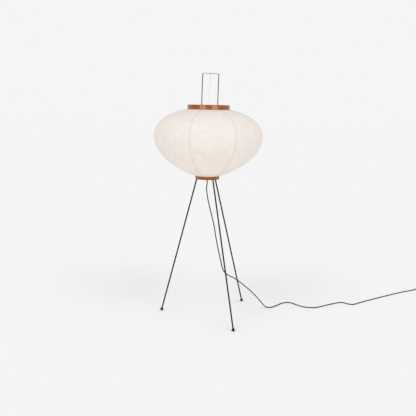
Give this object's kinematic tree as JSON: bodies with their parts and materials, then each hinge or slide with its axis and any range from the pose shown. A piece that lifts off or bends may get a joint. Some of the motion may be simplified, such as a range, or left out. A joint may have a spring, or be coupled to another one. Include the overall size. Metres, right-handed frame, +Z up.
{
  "type": "floor lamp",
  "caption": "Floor lamp: a squat round ribbed paper shade hung between wooden rims on a thin wire frame, on a splayed tripod of black rods with ball feet, with a corded foot switch.",
  "frame": {"origin": "on the floor, under the axis of the shade", "axes": "+Z up along the shade's axis, -Y towards the front of the lamp, +X to its right-hand side, where the cord leads away"},
  "size_m": [1.6885, 0.828, 1.2024],
  "materials": {
    "black_steel": "satin",
    "foot_rubber": "matt",
    "dark_wire": "satin",
    "zinc_steel": "satin",
    "brass": "satin",
    "black_plastic": "matt",
    "soft_black": "matt",
    "white_ceramic": "gloss",
    "lead_covering": "matt",
    "bulb_glass": "opal",
    "bulb_cap": "satin",
    "bulb_insulator": "gloss",
    "rim_wood": "satin varnish",
    "paper": "matt",
    "bamboo": "matt",
    "bright_wire": "satin",
    "thread": "matt",
    "cord_black": "satin",
    "switch_plastic": "matt"
  },
  "bodies": {
    "lamp": {"left_leg": "black_steel", "front_leg": "black_steel", "rear_leg": "black_steel", "left_foot": "foot_rubber", "front_foot": "foot_rubber", "rear_foot": "foot_rubber", "hub_plate": "black_steel", "wire_frame": "dark_wire", "frame_nuts": "zinc_steel", "nipple": "brass", "nipple_nuts": "zinc_steel", "strain_relief": "black_plastic", "holder_cap": "black_plastic", "holder_shell": "black_plastic", "holder_insert": "white_ceramic", "holder_thread": "brass", "holder_contact": "brass", "terminals": "brass", "holder_leads": "lead_covering", "bulb_glass": "bulb_glass", "bulb_cap": "bulb_cap", "bulb_contact": "bulb_insulator", "lower_outer_hoop": "rim_wood", "lower_inner_hoop": "rim_wood", "paper_shade": "paper", "bamboo_rib": "bamboo", "hanger_thread": "thread", "bar_knot": "thread", "cord_run": "cord_black", "cord_coil": "cord_black", "coil_tie": "black_plastic", "switch_base": "black_plastic", "switch_cover": "black_plastic", "switch_block": "switch_plastic", "switch_screws": "zinc_steel", "switch_grips": "soft_black", "plug_body": "black_plastic", "plug_pins": "brass", "plug_grip": "soft_black"},
    "upper_rim": {"upper_outer_hoop": "rim_wood", "upper_inner_hoop": "rim_wood", "cross_wire": "bright_wire", "rim_knot": "thread"},
    "foot_button": {"switch_button": "black_plastic"}
  },
  "joints": [
    {"name": "shade_let_down", "type": "slide", "parent": "lamp", "child": "upper_rim", "axis": [0, 0, 1], "range_m": [-0.157, 0], "deforming": ["paper_shade", "bamboo_rib", "hanger_thread"]},
    {"name": "foot_button_press", "type": "slide", "parent": "lamp", "child": "foot_button", "axis": [0, 0, 1], "range_m": [-0.0025, 0], "stiffness_N_per_m": 400}
  ]
}
